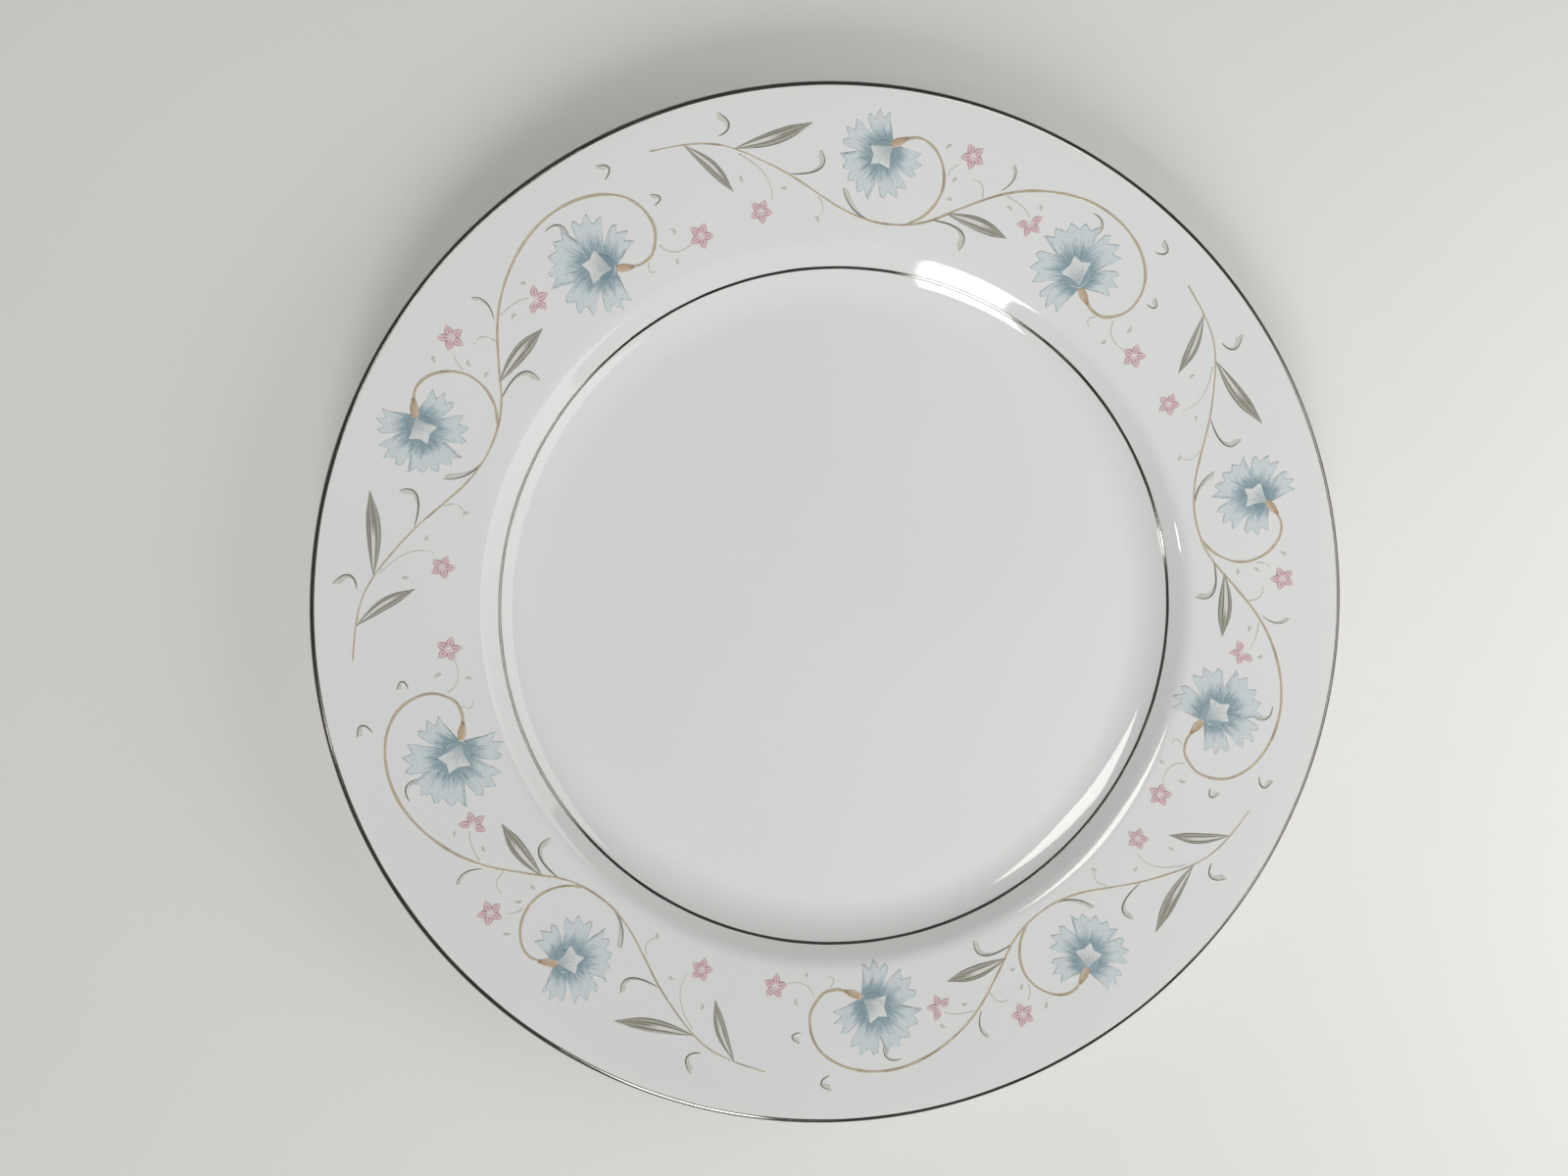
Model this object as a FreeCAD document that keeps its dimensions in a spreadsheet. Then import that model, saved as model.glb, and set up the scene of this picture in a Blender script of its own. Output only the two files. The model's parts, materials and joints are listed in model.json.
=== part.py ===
import FreeCAD, Part
import math
import os

import Sketcher
from FreeCAD import Placement, Rotation, Vector

# A china dinner plate: a jiggered porcelain body with a foot ring, the glaze fired over it, two painted
# platinum lines, and five transfer-printed floral sprays on the rim. Millimetres and degrees.
# The plate stands on its foot ring at z = 0, with the axis of the plate on Z.

OUTPUT_FOLDER = "parts"

DIMENSIONS = {
    # the turned shape, measured on the glazed surface
    "rim_radius": 130.0,
    "rim_slope": 11.5,
    "lip_radius": 1.25,
    "floor_radius": 77.2,
    "floor_height": 6.0,
    "cavetto_radius": 17.0,
    "wall_slope": 40.0,
    "wall_length": 2.6,
    "shoulder_radius": 8.0,
    "body_thickness": 3.4,
    # the foot ring
    "foot_contact_outer": 72.4,
    "foot_contact_inner": 70.8,
    "foot_round": 0.8,
    "foot_top_outer": 74.8,
    "foot_top_inner": 69.0,
    # layers on the body
    "glaze_thickness": 0.2,
    "ink_thickness": 0.08,
    # platinum lines
    "band_thickness": 0.2,
    "lip_band_width": 1.3,
    "lip_band_drop": 0.3,
    "verge_radius": 87.3,
    "verge_band_width": 0.6,
    # the printed sprays, laid by hand: each is turned about the plate's axis, tilted about its own middle,
    # and set a little further out or in
    "spray_turn_1": -10.7,
    "spray_tilt_1": -1.7,
    "spray_lift_1": 2.2,
    "spray_turn_2": -81.7,
    "spray_tilt_2": -1.9,
    "spray_lift_2": 0.0,
    "spray_turn_3": -152.3,
    "spray_tilt_3": -1.1,
    "spray_lift_3": -0.5,
    "spray_turn_4": 133.3,
    "spray_tilt_4": 0.0,
    "spray_lift_4": -0.2,
    "spray_turn_5": 59.8,
    "spray_tilt_5": -0.9,
    "spray_lift_5": 1.9,
    "vine_width": 0.55,
    "tendril_width": 0.35,
}
SPRAY_COUNT = 5

# The spray is drawn flat, seen from above, with the plate's axis at (0, 0) and the rim outward along +Y.
SPRAY_MIDDLE = (-5.0, 100.0)
MAIN_VINE = [(-69.5, 96.0), (-62.5, 99.4), (-56.0, 101.6), (-50.0, 102.1), (-43.0, 101.4), (-35.0, 99.9),
             (-27.0, 97.5), (-20.0, 95.5), (-12.5, 94.7), (-5.0, 95.7), (1.5, 98.2), (9.0, 103.2),
             (17.0, 108.1), (25.0, 111.1), (34.0, 112.3), (42.5, 111.4), (50.0, 108.3), (55.8, 103.5),
             (58.9, 98.0), (59.1, 92.8), (56.8, 88.2), (52.0, 85.8), (48.4, 86.6), (46.4, 88.2)]
SCROLL_VINE = [(-3.6, 96.2), (0.0, 99.2), (2.3, 103.2), (2.8, 107.6), (1.0, 112.2), (-2.4, 115.3),
               (-6.0, 116.2), (-9.2, 115.2)]
# each leaf: base, tip, width, and how far its middle bows to the left of the line from base to tip
LEAVES = [((-50.0, 102.1), (-32.6, 113.0), 2.9, -0.5), ((-62.0, 99.6), (-47.8, 92.6), 2.6, 0.8),
          ((5.2, 101.0), (22.0, 98.8), 3.2, 0.5)]
# each leaflet is a crescent: base, middle of its back, tip, width
LEAFLETS = [((-54.4, 103.9), (-52.6, 107.0), (-55.9, 109.0), 1.4),
            ((-35.2, 100.3), (-28.4, 103.6), (-29.2, 107.4), 1.4),
            ((-11.6, 94.8), (-17.6, 96.4), (-21.6, 100.4), 1.3),
            ((1.4, 98.4), (9.9, 97.6), (10.8, 93.2), 1.5),
            ((17.4, 109.4), (19.7, 113.0), (18.9, 116.0), 0.9),
            ((41.6, 109.4), (44.5, 107.6), (44.2, 104.7), 1.0),
            ((59.7, 103.9), (62.4, 104.6), (61.0, 107.1), 1.2),
            ((61.4, 91.2), (63.6, 91.0), (62.9, 93.2), 1.0)]
# each star flower: centre, radius, turn
STARS = [((-40.2, 89.9), 3.0, 8.0), ((8.3, 115.3), 3.2, -20.0), ((27.2, 102.0), 2.9, 30.0),
         ((61.8, 78.0), 3.2, 15.0)]
# each tendril is a thread from the vine through its middle to its end
TENDRILS = [((-48.6, 101.3), (-41.2, 98.4), (-38.2, 93.2)), ((-27.2, 97.0), (-25.4, 94.8), (-26.0, 92.4)),
            ((3.3, 109.4), (4.0, 111.4), (5.2, 112.6)), ((19.2, 108.4), (23.6, 107.0), (26.2, 105.0)),
            ((54.3, 85.4), (54.9, 81.6), (58.6, 79.0)), ((49.4, 85.4), (47.8, 84.2), (48.7, 82.8)),
            ((13.2, 106.4), (12.4, 109.4), (9.8, 110.2))]
# each bud is a loose drop beside a tendril: centre and radius
BUDS = [((-46.0, 96.3), 0.6), ((-35.8, 95.9), 0.7), ((-26.6, 91.3), 0.7), ((5.8, 108.6), 0.7),
        ((5.2, 103.7), 0.6), ((20.4, 105.2), 0.7), ((27.8, 107.5), 0.6), ((58.2, 84.4), 0.8),
        ((2.2, 115.6), 0.7), ((53.0, 80.2), 0.6)]
# each carnation: throat centre, the point where its calyx holds it, and the length of its longest petal
CARNATIONS = [((-14.4, 110.0), (-12.3, 112.9), 10.2), ((41.5, 95.8), (43.9, 91.3), 11.2)]
# each petal of a carnation: direction from the throat, counted from the calyx, length as a share, and half
# its width in degrees
PETALS = [(54.0, 0.98, 24.0), (108.0, 1.00, 27.0), (177.0, 0.98, 38.0), (252.0, 1.00, 28.0),
          (308.0, 1.00, 24.0)]
# along a petal, as shares of its length: the notch between petals, its narrow waist, and its toothed end
NOTCH_SHARE = 0.40
WAIST_SHARE = 0.70
# how many degrees wider than its toothed end a petal is at the notch, and narrower at its waist
NOTCH_SPREAD = 2.0
WAIST_DRAW = 3.0
TEETH = (0.92, 0.82, 1.0, 0.88, 1.0, 0.82, 0.92)
# the bare star at a carnation's throat, where the glaze shows
THROAT_SHARE = 0.3
# each calyx: where the vine ends, and where it meets the flower
CALYXES = [((-9.0, 115.2), (-12.0, 113.1)), ((46.5, 88.1), (43.9, 91.0))]
CALYX_WIDTH = 2.0


def make_sheet(doc):
    """The driving dimensions, one per row: name in column A, value in column B."""
    sheet = doc.addObject("Spreadsheet::Sheet", "Dims")
    for row, (alias, value) in enumerate(DIMENSIONS.items(), start=1):
        sheet.set(f"A{row}", alias)
        sheet.set(f"B{row}", str(value))
        sheet.setAlias(f"B{row}", alias)
    doc.recompute()
    return sheet


def polar(centre, radius, angle):
    """The point at that angle in degrees from the first axis, around centre."""
    turn = math.radians(angle)
    return Vector(centre.x + radius * math.cos(turn), centre.y + radius * math.sin(turn), 0)


class PlateSection:
    """The points of the plate's section, in the sketch's plane, for a surface set inside the glazed one."""

    def __init__(self, dims, inset):
        wall, rim = dims.wall_slope, dims.rim_slope
        self.cavetto_centre = Vector(dims.floor_radius, dims.floor_height + dims.cavetto_radius, 0)
        self.wall_start = polar(self.cavetto_centre, dims.cavetto_radius + inset, wall - 90)
        self.wall_end = polar(self.wall_start, dims.wall_length, wall)
        self.shoulder_centre = polar(self.wall_end, dims.shoulder_radius - inset, wall - 90)
        self.rim_start = polar(self.shoulder_centre, dims.shoulder_radius - inset, rim + 90)
        run = dims.rim_radius - dims.lip_radius - self.shoulder_centre.x
        above = (dims.shoulder_radius - dims.lip_radius) / math.cos(math.radians(rim))
        self.lip_centre = self.shoulder_centre + Vector(run, run * math.tan(math.radians(rim)) + above, 0)
        self.rim_end = polar(self.lip_centre, dims.lip_radius - inset, rim + 90)
        # underneath, the rim's line touches the small lip circle and the shoulder's inner circle
        inner = dims.shoulder_radius - dims.body_thickness + inset
        across = self.lip_centre - self.shoulder_centre
        lean = math.degrees(math.asin((inner + dims.lip_radius - inset) / across.Length))
        under = math.degrees(math.atan2(across.y, across.x)) - lean
        self.under_lip = polar(self.lip_centre, dims.lip_radius - inset, under - 90)
        self.under_shoulder = polar(self.shoulder_centre, inner, under + 90)
        self.under_wall_end = polar(self.shoulder_centre, inner, wall + 90)
        outside = dims.cavetto_radius + dims.body_thickness - inset
        self.under_wall_start = polar(self.cavetto_centre, outside, wall - 90)
        self.floor_edge = Vector(dims.floor_radius, dims.floor_height - inset, 0)
        self.under_height = dims.floor_height - dims.body_thickness + inset


def arc(centre, start, end):
    """The arc of a circle that runs anticlockwise from start to end."""
    first = math.atan2(start.y - centre.y, start.x - centre.x)
    last = math.atan2(end.y - centre.y, end.x - centre.x)
    circle = Part.Circle(centre, Vector(0, 0, 1), (start - centre).Length)
    return Part.ArcOfCircle(circle, first, last if last > first else last + 2 * math.pi)


def line(start, end):
    return Part.LineSegment(start, end)


def bind(sketch, name, expression, kind, *where):
    """Adds a dimension of that name to a sketch, and ties it to an expression on the sheet."""
    index = sketch.addConstraint(Sketcher.Constraint(kind, *where))
    sketch.renameConstraint(index, name)
    sketch.setExpression(f"Constraints.{name}", expression)


def note(sketch, name, kind, *where):
    """Adds a dimension of that name which only reads the sketch."""
    index = sketch.addConstraint(Sketcher.Constraint(kind, *where))
    sketch.setDriving(index, False)
    sketch.renameConstraint(index, name)


def turned_body(doc, dims, name, inset_name, sign):
    """A body turned from the plate's whole section, set inside the glazed surface by sign times a cell."""
    inset = sign * getattr(dims, inset_name) if inset_name else 0.0
    inside = f"{'+' if sign > 0 else '-'} Dims.{inset_name}" if inset_name else ""
    outside = f"{'-' if sign > 0 else '+'} Dims.{inset_name}" if inset_name else ""
    body = doc.addObject("PartDesign::Body", name)
    sketch = body.newObject("Sketcher::SketchObject", name + "_section")
    plane = next(f for f in body.Origin.OriginFeatures if f.Role == "XZ_Plane")
    sketch.AttachmentSupport = [(plane, "")]
    sketch.MapMode = "FlatFace"

    s = PlateSection(dims, inset)
    under = s.under_height
    foot_rise = dims.foot_round / 2
    foot_lean = dims.foot_round * math.sin(math.radians(60))
    outer, inner = dims.foot_contact_outer, dims.foot_contact_inner
    outer_centre, inner_centre = Vector(outer, dims.foot_round, 0), Vector(inner, dims.foot_round, 0)
    foot = [Vector(dims.foot_top_outer, under, 0), Vector(outer + foot_lean, foot_rise, 0),
            Vector(outer, 0, 0), Vector(inner, 0, 0),
            Vector(inner - foot_lean, foot_rise, 0), Vector(dims.foot_top_inner, under, 0)]
    floor_under = Vector(dims.floor_radius, under, 0)
    top, bottom = Vector(0, s.floor_edge.y, 0), Vector(0, under, 0)
    (FLOOR, CAVETTO, WALL, SHOULDER, RIM, LIP, RIM_UNDER, SHOULDER_UNDER, WALL_UNDER, CAVETTO_UNDER, UNDER,
     FLANK_OUT, CORNER_OUT, CONTACT, CORNER_IN, FLANK_IN, RECESS, AXIS) = range(18)
    sketch.addGeometry([
        line(top, s.floor_edge),
        arc(s.cavetto_centre, s.floor_edge, s.wall_start),
        line(s.wall_start, s.wall_end),
        arc(s.shoulder_centre, s.rim_start, s.wall_end),
        line(s.rim_start, s.rim_end),
        arc(s.lip_centre, s.under_lip, s.rim_end),
        line(s.under_lip, s.under_shoulder),
        arc(s.shoulder_centre, s.under_shoulder, s.under_wall_end),
        line(s.under_wall_end, s.under_wall_start),
        arc(s.cavetto_centre, floor_under, s.under_wall_start),
        line(floor_under, foot[0]),
        line(foot[0], foot[1]),
        arc(outer_centre, foot[2], foot[1]),
        line(foot[2], foot[3]),
        arc(inner_centre, foot[4], foot[3]),
        line(foot[4], foot[5]),
        line(foot[5], bottom),
        line(bottom, top),
    ], False)
    START, END, CENTRE, ORIGIN, H_AXIS, V_AXIS = 1, 2, 3, -1, -1, -2
    smooth = [(FLOOR, END, CAVETTO, START), (CAVETTO, END, WALL, START), (WALL, END, SHOULDER, END),
              (SHOULDER, START, RIM, START), (RIM, END, LIP, END), (LIP, START, RIM_UNDER, START),
              (RIM_UNDER, END, SHOULDER_UNDER, START), (SHOULDER_UNDER, END, WALL_UNDER, START),
              (WALL_UNDER, END, CAVETTO_UNDER, END), (CAVETTO_UNDER, START, UNDER, START),
              (CORNER_OUT, START, CONTACT, START), (CONTACT, END, CORNER_IN, END)]
    joined = [(UNDER, END, FLANK_OUT, START), (FLANK_OUT, END, CORNER_OUT, END),
              (CORNER_IN, START, FLANK_IN, START), (FLANK_IN, END, RECESS, START), (RECESS, END, AXIS, START),
              (AXIS, END, FLOOR, START), (CAVETTO, CENTRE, CAVETTO_UNDER, CENTRE),
              (SHOULDER, CENTRE, SHOULDER_UNDER, CENTRE)]
    sketch.addConstraint([Sketcher.Constraint("Tangent", *ends) for ends in smooth])
    sketch.addConstraint([Sketcher.Constraint("Coincident", *ends) for ends in joined])
    sketch.addConstraint([Sketcher.Constraint("Horizontal", edge) for edge in (FLOOR, UNDER, RECESS)])
    sketch.addConstraint([
        Sketcher.Constraint("PointOnObject", CONTACT, START, H_AXIS),
        Sketcher.Constraint("Horizontal", CONTACT),
        Sketcher.Constraint("PointOnObject", FLOOR, START, V_AXIS),
        Sketcher.Constraint("PointOnObject", RECESS, END, V_AXIS),
    ])
    radii = [
        ("cavetto", f"Dims.cavetto_radius {inside}", CAVETTO),
        ("shoulder", f"Dims.shoulder_radius {outside}", SHOULDER),
        ("lip", f"Dims.lip_radius {outside}", LIP),
        ("shoulder_under", f"Dims.shoulder_radius - Dims.body_thickness {inside}", SHOULDER_UNDER),
        ("cavetto_under", f"Dims.cavetto_radius + Dims.body_thickness {outside}", CAVETTO_UNDER),
        ("round_outer", "Dims.foot_round", CORNER_OUT),
        ("round_inner", "Dims.foot_round", CORNER_IN),
    ]
    across = [
        ("well", "Dims.floor_radius", CAVETTO, CENTRE),
        ("reach", "Dims.rim_radius - Dims.lip_radius", LIP, CENTRE),
        ("foot_top_outer", "Dims.foot_top_outer", UNDER, END),
        ("contact_outer", "Dims.foot_contact_outer", CONTACT, START),
        ("contact_inner", "Dims.foot_contact_inner", CONTACT, END),
        ("foot_top_inner", "Dims.foot_top_inner", RECESS, START),
    ]
    upward = [
        ("floor", f"Dims.floor_height {outside}", FLOOR, START),
        ("rise_outer", "Dims.foot_round / 2", CORNER_OUT, END),
        ("rise_inner", "Dims.foot_round / 2", CORNER_IN, START),
        ("recess", f"Dims.floor_height - Dims.body_thickness {inside}", RECESS, START),
    ]
    for label, expression, curve in radii:
        bind(sketch, label, expression, "Radius", curve, sketch.Geometry[curve].Radius)
    for label, expression, edge, end in across:
        bind(sketch, label, expression, "DistanceX", ORIGIN, 1, edge, end, sketch.getPoint(edge, end).x)
    for label, expression, edge, end in upward:
        bind(sketch, label, expression, "DistanceY", ORIGIN, 1, edge, end, sketch.getPoint(edge, end).y)
    bind(sketch, "slope", "Dims.wall_slope", "Angle", WALL, math.radians(dims.wall_slope))
    bind(sketch, "wall", "Dims.wall_length", "Distance", WALL, dims.wall_length)
    bind(sketch, "rim", "Dims.rim_slope", "Angle", RIM, math.radians(dims.rim_slope))
    note(sketch, "slope_start_radius", "DistanceX", ORIGIN, 1, RIM, START, s.rim_start.x)
    note(sketch, "slope_start_height", "DistanceY", ORIGIN, 1, RIM, START, s.rim_start.y)
    turned = body.newObject("PartDesign::Revolution", name + "_turned")
    turned.Profile = sketch
    turned.ReferenceAxis = (sketch, ["V_Axis"])
    turned.Angle = 360
    body.Tip = turned
    doc.recompute()
    sketch.Visibility = False
    return body


def tube(doc, name, inner, outer, low, high):
    """A ring-shaped cutter between two radii and two heights, each given as an expression on the sheet."""
    rings = []
    for part, radius in (("outer", outer), ("inner", inner)):
        ring = doc.addObject("Part::Cylinder", f"{name}_{part}")
        ring.setExpression("Radius", radius)
        ring.setExpression("Height", f"({high}) - ({low})")
        ring.setExpression("Placement.Base.z", low)
        rings.append(ring)
    cutter = doc.addObject("Part::Cut", name)
    cutter.Base, cutter.Tool = rings
    return cutter


def combine(doc, kind, name, base, tool):
    made = doc.addObject(kind, name)
    made.Base, made.Tool = base, tool
    return made


def as_wire_face(*edges):
    return Part.Face(Part.Wire(Part.__sortEdges__(list(edges))))


def spline_through(points):
    curve = Part.BSplineCurve()
    curve.interpolate([Vector(x, y, 0) for x, y in points])
    return curve


def stroke(points, width, start_share=1.0, end_share=1.0, stations=None):
    """A brush stroke of that width along a smooth line, narrowing to a share of it at each end."""
    curve = spline_through(points)
    count = stations or 3 * len(points)
    left, right = [], []
    for i in range(count + 1):
        t = curve.FirstParameter + (curve.LastParameter - curve.FirstParameter) * i / count
        middle, along = curve.value(t), curve.tangent(t)[0]
        share = start_share + (end_share - start_share) * i / count
        side = Vector(-along.y, along.x, 0).normalize() * (width * share / 2)
        left.append(middle + side)
        right.append(middle - side)
    edges = []
    for side in (left, right):
        rail = Part.BSplineCurve()
        rail.interpolate(side)
        edges.append(rail.toShape())
    edges.append(Part.makeLine(left[0], right[0]))
    edges.append(Part.makeLine(left[-1], right[-1]))
    return as_wire_face(*edges)


def blade(base, tip, width, bow):
    """A pointed leaf between base and tip, bowed to one side."""
    base, tip = Vector(*base, 0), Vector(*tip, 0)
    along = (tip - base).normalize()
    side = Vector(-along.y, along.x, 0)
    middle = (base + tip) / 2 + side * bow
    edges = [Part.Arc(base, middle + side * (k * width / 2), tip).toShape() for k in (1, -1)]
    return as_wire_face(*edges)


def crescent(base, back, tip, width):
    """A curled leaflet: two arcs that share their ends, the inner one flatter."""
    base, back, tip = Vector(*base, 0), Vector(*back, 0), Vector(*tip, 0)
    inward = ((base + tip) / 2 - back).normalize()
    arcs = [Part.Arc(base, middle, tip).toShape() for middle in (back, back + inward * width)]
    return as_wire_face(*arcs)


def polygon(points):
    return Part.Face(Part.makePolygon(points + [points[0]]))


def star(centre, radius, turn):
    """A five-pointed star, half as wide between its points."""
    middle = Vector(*centre, 0)
    return polygon([polar(middle, radius / (1 + k % 2), turn + 36 * k) for k in range(10)])


def drop(centre, radius):
    return Part.Face(Part.Wire(Part.makeCircle(radius, Vector(*centre, 0))))


def calyx(stem, flower):
    """The bell that holds a flower, widening from the vine to the petals."""
    stem, flower = Vector(*stem, 0), Vector(*flower, 0)
    along = (flower - stem).normalize()
    side = Vector(-along.y, along.x, 0)
    narrow, wide = DIMENSIONS["vine_width"] / 2, CALYX_WIDTH / 2
    rails = [Part.Arc(stem + side * (k * narrow), stem + (flower - stem) * 0.55 + side * (k * wide),
                      flower + side * (k * wide * 0.7)).toShape() for k in (1, -1)]
    ends = [Part.makeLine(p + side * w, p - side * w) for p, w in ((stem, narrow), (flower, wide * 0.7))]
    return as_wire_face(*rails, *ends)


def carnation(centre, calyx_point, length):
    """Five fan-shaped petals with toothed ends, joined round a star-shaped throat that is left bare."""
    middle = Vector(*centre, 0)
    turn = math.degrees(math.atan2(calyx_point[1] - centre[1], calyx_point[0] - centre[0]))
    outline = []
    for direction, share, half in PETALS:
        reach, axis = length * share, turn + direction
        outline.append(polar(middle, reach * NOTCH_SHARE, axis - half - NOTCH_SPREAD))
        outline.append(polar(middle, reach * WAIST_SHARE, axis - half + WAIST_DRAW))
        for k, tooth in enumerate(TEETH):
            outline.append(polar(middle, reach * tooth, axis - half + 2 * half * k / (len(TEETH) - 1)))
        outline.append(polar(middle, reach * WAIST_SHARE, axis + half - WAIST_DRAW))
    return polygon(outline).cut(star(centre, length * THROAT_SHARE, turn + PETALS[0][0]))


def ink_outlines(dims):
    """The flat outlines of one spray, by ink, in the order in which they are printed over one another."""
    vines = [stroke(MAIN_VINE, dims.vine_width, 0.4, 1.0), stroke(SCROLL_VINE, dims.vine_width)]
    threads = [stroke(route, dims.tendril_width, 1.0, 0.5, 8) for route in TENDRILS]
    return {
        "blue_carnations": [carnation(*flower) for flower in CARNATIONS],
        "orange_calyxes": [calyx(*ends) for ends in CALYXES],
        "brown_vine": [vines[0].fuse(vines[1]).removeSplitter()],
        "green_leaves": [blade(*leaf) for leaf in LEAVES] + [crescent(*leaflet) for leaflet in LEAFLETS],
        "pink_stars": [star(*flower) for flower in STARS],
        "grey_tendrils": threads + [drop(*bud) for bud in BUDS],
    }


def printed_inks(outlines_by_ink, layer, tilt, lift, height):
    """Each ink of one spray as solids lying on the rim, cut back where an earlier ink already lies."""
    slip = Placement(Vector(0, lift, 0), Rotation(Vector(0, 0, 1), tilt), Vector(*SPRAY_MIDDLE, 0))
    laid, inks = [], {}
    for ink, outlines in outlines_by_ink.items():
        solids = []
        for outline in outlines:
            flat = outline.cut(Part.makeCompound(laid)) if laid else outline
            showing = max(flat.Faces, key=lambda face: face.Area)
            raised = showing.transformed(slip.toMatrix()).extrude(Vector(0, 0, height))
            solids.extend(raised.common(layer).Solids)
        laid.extend(outlines)
        inks[ink] = Part.makeCompound(solids)
    return inks


def print_sprays(doc, dims, rim_ink):
    """Five copies of the spray, one node for each ink of each."""
    outlines = ink_outlines(dims)
    nodes = []
    for number in range(1, SPRAY_COUNT + 1):
        tilt, lift = getattr(dims, f"spray_tilt_{number}"), getattr(dims, f"spray_lift_{number}")
        turn = getattr(dims, f"spray_turn_{number}")
        for ink, shape in printed_inks(outlines, rim_ink.Shape, tilt, lift, dims.rim_radius).items():
            node = doc.addObject("Part::Feature", f"Spray{number}_{ink}")
            node.Label = f"spray_{number}_{ink}"
            node.Shape = shape
            node.Placement = Placement(Vector(0, 0, 0), Rotation(Vector(0, 0, 1), turn))
            nodes.append(node)
    return nodes


def lip_ring(doc, dims):
    """The platinum line over the lip, turned from two arcs round the centre of the lip's section."""
    centre = PlateSection(dims, 0.0).lip_centre
    first = -math.degrees(math.asin(dims.lip_band_drop / dims.lip_radius))
    last = math.degrees(math.acos((dims.lip_radius - dims.lip_band_width) / dims.lip_radius))
    rails = []
    for radius in (dims.lip_radius, dims.lip_radius + dims.band_thickness):
        flat = [polar(centre, radius, angle) for angle in (first, (first + last) / 2, last)]
        rails.append([Vector(point.x, 0, point.y) for point in flat])
    arcs = [Part.Arc(*rail).toShape().toNurbs().Edges[0] for rail in rails]
    ends = [Part.makeLine(rails[0][k], rails[1][k]) for k in (0, 2)]
    ring = doc.addObject("Part::Feature", "lip_band")
    ring.Shape = as_wire_face(*arcs, *ends).revolve(Vector(0, 0, 0), Vector(0, 0, 1), 360)
    return ring


def measured(name):
    """The expression for a dimension, in plain millimetres, that the glazed form's section only reads."""
    return f"(glazed_form_section.Constraints.{name} / 1 mm)"


def ink_over_rim(doc, ink_layer):
    """A layer of ink over the whole face of the rim, which the sprays are cut from."""
    inner, outer = measured("slope_start_radius"), "Dims.rim_radius + 2 * Dims.body_thickness"
    above = doc.addObject("Part::Cone", "above_rim")
    above.setExpression("Radius1", inner)
    above.setExpression("Radius2", outer)
    above.setExpression("Height", f"({outer} - {inner}) * tan(Dims.rim_slope * 1 deg)")
    above.setExpression("Placement.Base.z", f"{measured('slope_start_height')} - Dims.body_thickness / 2")
    return combine(doc, "Part::Common", "rim_ink", ink_layer, above)


def check(doc, nodes):
    doc.recompute()
    for thing in doc.Objects:
        if "Invalid" in thing.State or "Error" in thing.State:
            raise RuntimeError(f"{thing.Name} failed: {thing.State}")
        if thing.TypeId == "Sketcher::SketchObject" and not thing.FullyConstrained:
            raise RuntimeError(f"{thing.Name} is not fully constrained")
    for node in nodes:
        if node.Shape.isNull() or not node.Shape.isValid() or not node.Shape.Solids:
            raise RuntimeError(f"{node.Label} has no valid solid")


def main():
    doc = FreeCAD.newDocument("DinnerPlate")
    dims = make_sheet(doc)
    porcelain = turned_body(doc, dims, "porcelain_body", "glaze_thickness", 1)
    glazed = turned_body(doc, dims, "glazed_form", "", 1)
    inked = turned_body(doc, dims, "inked_form", "ink_thickness", -1)
    banded = turned_body(doc, dims, "banded_form", "band_thickness", -1)

    glaze = combine(doc, "Part::Cut", "glaze", glazed, porcelain)
    recess = doc.addObject("Part::Cylinder", "recess_cutter")
    recess.setExpression("Radius", "(Dims.foot_contact_outer + Dims.foot_contact_inner) / 2")
    recess.setExpression("Height", "Dims.floor_height - Dims.body_thickness / 2")
    glaze_coat = combine(doc, "Part::Cut", "glaze_coat", glaze, recess)
    recess_glaze = combine(doc, "Part::Common", "foot_recess_glaze", glaze, recess)

    ink_layer = combine(doc, "Part::Cut", "ink_layer", inked, glazed)
    metal_layer = combine(doc, "Part::Cut", "metal_layer", banded, glazed)
    verge_cutter = tube(doc, "verge_cutter", "Dims.verge_radius - Dims.verge_band_width / 2",
                        "Dims.verge_radius + Dims.verge_band_width / 2",
                        "Dims.floor_height", "Dims.floor_height + Dims.cavetto_radius")
    lip_band = lip_ring(doc, dims)
    verge_band = combine(doc, "Part::Common", "verge_band", metal_layer, verge_cutter)
    rim_ink = ink_over_rim(doc, ink_layer)
    doc.recompute()

    nodes = [porcelain, glaze_coat, recess_glaze, lip_band, verge_band]
    nodes += print_sprays(doc, dims, rim_ink)
    check(doc, nodes)
    os.makedirs(OUTPUT_FOLDER, exist_ok=True)
    for node in nodes:
        node.Shape.exportStep(os.path.join(OUTPUT_FOLDER, node.Label + ".step"))
        box = node.Shape.BoundBox
        print(f"{node.Label}: {len(node.Shape.Solids)} solids, {node.Shape.Volume:.1f} mm3,"
              f" z {box.ZMin:.2f} to {box.ZMax:.2f}")


main()
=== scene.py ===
import json
import math
import random

import bpy
import numpy as np
from mathutils import Matrix, Vector


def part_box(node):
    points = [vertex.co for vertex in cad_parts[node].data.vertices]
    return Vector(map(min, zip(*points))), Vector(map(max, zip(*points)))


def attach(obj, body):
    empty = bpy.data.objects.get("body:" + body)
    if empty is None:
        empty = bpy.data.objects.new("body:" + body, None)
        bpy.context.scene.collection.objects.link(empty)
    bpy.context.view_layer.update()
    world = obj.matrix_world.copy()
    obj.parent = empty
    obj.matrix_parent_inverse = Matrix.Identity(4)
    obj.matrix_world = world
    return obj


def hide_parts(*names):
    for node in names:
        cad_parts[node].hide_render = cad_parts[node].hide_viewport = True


# A china dinner plate: glazed porcelain with two platinum lines and five printed floral sprays on its rim.
# Drawing sizes are in millimetres, as the plate was designed. Every mesh is made in metres in the frame of
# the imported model, where the plate stands on its foot ring at z = 0 with its axis on Z.

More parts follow.
